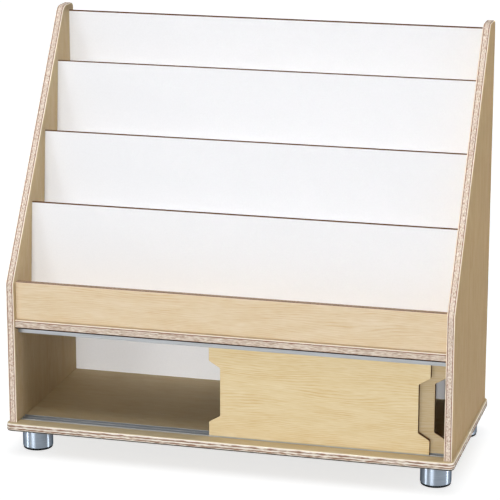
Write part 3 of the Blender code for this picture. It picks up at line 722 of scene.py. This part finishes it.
def finish_kept_nodes():
    """Tier floors, screws, bolts, inserts and dowels keep their CAD shape."""
    zinc = worked_metal("zinc_plated_steel", ("#A9A99F", "#BDBDB4"), (1.5, 1.5, 1.5), 0.4)
    beech = raw_beech()
    for start, material in (("base_screw", zinc), ("upper_track_screw", zinc), ("foot_bolt", zinc),
                            ("foot_insert", zinc), ("lip_dowel", beech)):
        for name in named(start):
            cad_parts[name].data.materials[0] = material
    for name in TIER_FLOORS:
        plywood = birch_plywood(name + "_birch_plywood", name, LEANING_FLOOR, X)
        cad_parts[name].data.materials[0] = plywood


# Studio

RACK_MIDDLE = Vector((0.0, 0.0, 0.4))
LAMP_DISTANCE = 4.0
LOOK_AT = Vector((0.0095, -0.0399, 0.4149))
CAMERA_AZIMUTH, CAMERA_ELEVATION = 14.957, 15.005
CAMERA_DISTANCE = 4.5598
CAMERA_LENS, CAMERA_SENSOR = 165.92, 36.0
AMBIENT = 0.15                  # light of the surroundings on the rack, where white seen straight is 1
FLOOR_GLOW = 0.74               # share of the floor's white that a shadow doesn't take
FLOOR_SIZE = 40.0
LAMPS = {                       # azimuth, elevation and breadth in degrees, and level on a card that faces it
    "front_lamp": (0.0, 4.0, 12.0, 0.515),
    "wall_lamp": (0.0, 4.0, 12.0, 0.20),
    "wall_side_lamp": (10.0, 16.0, 1.5, 0.34),
    "left_front_lamp": (-24.0, 4.0, 16.0, 0.16),
    "high_lamp": (5.0, 72.0, 24.0, 0.23),
    "overhead_lamp": (0.0, 86.0, 60.0, 0.39),
    "right_lamp": (86.0, 1.0, 6.0, 0.15),
    "left_lamp": (-74.0, 1.0, 3.0, 0.12),
    "slope_lamp": (0.0, 72.0, 12.0, 0.42),
    "base_end_lamp": (90.0, 25.0, 6.0, 0.35),
    "back_lamp": (200.0, 4.0, 30.0, 0.7),
    "foot_left_lamp": (-65.0, 1.0, 3.0, 0.4),
    "foot_right_lamp": (100.0, 1.0, 3.0, 0.4),
    "foot_front_lamp": (-18.0, 1.0, 26.0, 0.86),
}
WITHOUT_GLINT = ("front_lamp", "wall_lamp", "wall_side_lamp", "back_lamp")    # not mirrored in the metal


def direction(azimuth, elevation):
    """Unit vector from the rack to a place round it. Azimuth 0 is straight in front."""
    azimuth, elevation = math.radians(azimuth), math.radians(elevation)
    return Vector((math.sin(azimuth) * math.cos(elevation), -math.cos(azimuth) * math.cos(elevation),
                   math.sin(elevation)))


def set_up(name, data, target, heading, distance):
    """Stand a lamp or the camera off a target, facing it."""
    item = bpy.data.objects.new(name, data)
    item.location = target + heading * distance
    item.rotation_euler = heading.to_track_quat("Z", "Y").to_euler()
    bpy.context.scene.collection.objects.link(item)
    return item


def lamps():
    """Broad, far lamps. Their level is the share of white that they give a card which faces them."""
    for name, (azimuth, elevation, breadth, level) in LAMPS.items():
        lamp = bpy.data.lights.new(name, "SUN")
        lamp.angle = math.radians(breadth)
        lamp.energy = level * math.pi
        set_up(name, lamp, RACK_MIDDLE, direction(azimuth, elevation), LAMP_DISTANCE)
    for name in WITHOUT_GLINT:
        bpy.data.objects[name].visible_glossy = False


def group(name, state, members):
    """Objects that a lamp's light or shadow is for, or is not for."""
    made = bpy.data.collections.new(name)
    for member in members:
        made.objects.link(bpy.data.objects[member])
    for entry in made.collection_objects:
        entry.light_linking.link_state = state
    return made


def screen_lamps():
    """Keep the overhead lamp, which draws the base's soft shadow, to the floor, and the other lamps off it.

    The low lamps at the front pass the lip and the dividers, which then shade nothing behind them. The back
    wall, the sides' slopes, the base board and the steel feet have lamps of their own.
    """
    sleeves = [f"steel_sleeve_{corner}" for corner in FEET]
    thin = ["front_lip_strip"] + [f"{name}_sheet" for name in DIVIDERS]
    floor = group("floor_alone", "INCLUDE", ["studio_floor"])
    rack = group("rack_alone", "EXCLUDE", ["studio_floor"] + sleeves)
    rack_front = group("rack_without_back", "EXCLUDE", ["studio_floor", "back_panel_sheet"] + sleeves)
    outside = group("rack_without_dividers", "EXCLUDE", ["studio_floor"] + sleeves + thin)
    back = group("back_alone", "INCLUDE", ["back_panel_sheet"])
    sides = group("sides_alone", "INCLUDE", ["left_side_panel_board", "right_side_panel_board"])
    slab = group("base_alone", "INCLUDE", ["base_slab"])
    feet = group("feet_alone", "INCLUDE", sleeves)
    base = group("base_and_feet", "INCLUDE", ["base_slab"] + sleeves)
    past_thin = group("past_thin_boards", "EXCLUDE", thin)
    for name, lit, shading in (
            ("front_lamp", rack_front, past_thin), ("wall_lamp", back, past_thin),
            ("wall_side_lamp", back, past_thin), ("left_front_lamp", rack, past_thin),
            ("high_lamp", rack, None), ("overhead_lamp", floor, base),
            ("right_lamp", rack, None), ("left_lamp", rack, None),
            ("slope_lamp", sides, None), ("base_end_lamp", slab, None),
            ("back_lamp", outside, None), ("foot_left_lamp", feet, None),
            ("foot_right_lamp", feet, None), ("foot_front_lamp", feet, None)):
        linking = bpy.data.objects[name].light_linking
        linking.receiver_collection = lit
        linking.blocker_collection = shading


def seen_directly(tree):
    """1 for rays from the camera and from mirror-like or clear surfaces, else 0."""
    camera = add_node(tree, "ShaderNodeLightPath", {}, "Is Camera Ray")
    rays = camera.node.outputs
    seen = add_node(tree, "ShaderNodeMath", {0: camera, 1: rays["Is Glossy Ray"]}, operation="MAXIMUM")
    return add_node(tree, "ShaderNodeMath", {0: seen, 1: rays["Is Transmission Ray"]}, operation="MAXIMUM")


def surroundings():
    """White where it is seen, and a soft even light elsewhere."""
    world = bpy.data.worlds.new("studio")
    world.use_nodes = True
    bpy.context.scene.world = world
    tree = world.node_tree
    strength = add_node(tree, "ShaderNodeMapRange", {"Value": seen_directly(tree), "To Min": AMBIENT,
                                                     "To Max": 1.0})
    background = tree.nodes["Background"]
    background.inputs["Color"].default_value = linear("#FFFFFF")
    tree.links.new(strength, background.inputs["Strength"])


def studio_floor():
    """White floor that keeps the rack's shadow."""
    half = FLOOR_SIZE / 2
    corners = np.array([(-half, -half, 0), (half, -half, 0), (half, half, 0), (-half, half, 0)])
    floor = solid("studio_floor", corners, [[0, 1, 2, 3]])
    material = bpy.data.materials.new("white_studio_paper")
    material.use_nodes = True
    tree = material.node_tree
    paper = add_node(tree, "ShaderNodeBsdfDiffuse", {"Color": linear("#E8E8E8")})
    shade = add_node(tree, "ShaderNodeBsdfDiffuse", {"Color": linear("#C6C8CA")})
    glow = add_node(tree, "ShaderNodeEmission", {"Strength": FLOOR_GLOW})
    shown = add_node(tree, "ShaderNodeAddShader", {0: glow, 1: shade})
    mixed = add_node(tree, "ShaderNodeMixShader", {0: seen_directly(tree), 1: paper, 2: shown})
    tree.links.new(mixed, tree.nodes["Material Output"].inputs["Surface"])
    floor.data.materials.append(material)


def photo_camera():
    """Long lens from the right and above, as in the photo."""
    lens = bpy.data.cameras.new("photo_camera")
    lens.lens, lens.sensor_width = CAMERA_LENS, CAMERA_SENSOR
    heading = direction(CAMERA_AZIMUTH, CAMERA_ELEVATION)
    bpy.context.scene.camera = set_up("photo_camera", lens, LOOK_AT, heading, CAMERA_DISTANCE)


# The rack

DRAWN_LINES = (60.0, 0.9, 0.9)  # size in millimetres of the lines that drawing leaves along a track
TRACK_ROUGHNESS = 0.38


def dress_rack():
    """Draw every board, track and foot in its finish, and finish the nodes that stay."""
    side_panel("left_side_panel")
    side_panel("right_side_panel")
    base_slab()
    shelf_slab()
    lip_strip()
    for name in DIVIDERS:
        white_board(name, LEANING)
    white_board("back_panel", STANDING)
    sliding_door("front_door")
    sliding_door("rear_door")

    # One drawn aluminium in two tones: the lower track's is painted lighter, painted light in its
    # shaded channels, and the upper track's darker, painted shade on the white floor that it mirrors.
    lighter_aluminium = worked_metal("drawn_aluminium", ("#AEB1B4", "#C4C7CA"), DRAWN_LINES, TRACK_ROUGHNESS)
    darker_aluminium = worked_metal("drawn_aluminium_painted_darker", ("#9B9EA1", "#B5B8BB"), DRAWN_LINES, TRACK_ROUGHNESS)
    low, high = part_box("lower_track")
    door_track("lower_track", low.z, high.z, lighter_aluminium)
    low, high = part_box("upper_track")
    door_track("upper_track", high.z, low.z + UPPER_RIM_TRIM, darker_aluminium)

    steel, plastic = turned_steel(), moulded_polypropylene()
    for corner in FEET:
        foot(corner, steel, plastic)
    finish_kept_nodes()


dress_rack()
lamps()
surroundings()
studio_floor()
screen_lamps()
photo_camera()
bpy.context.scene.view_settings.view_transform = "Standard"
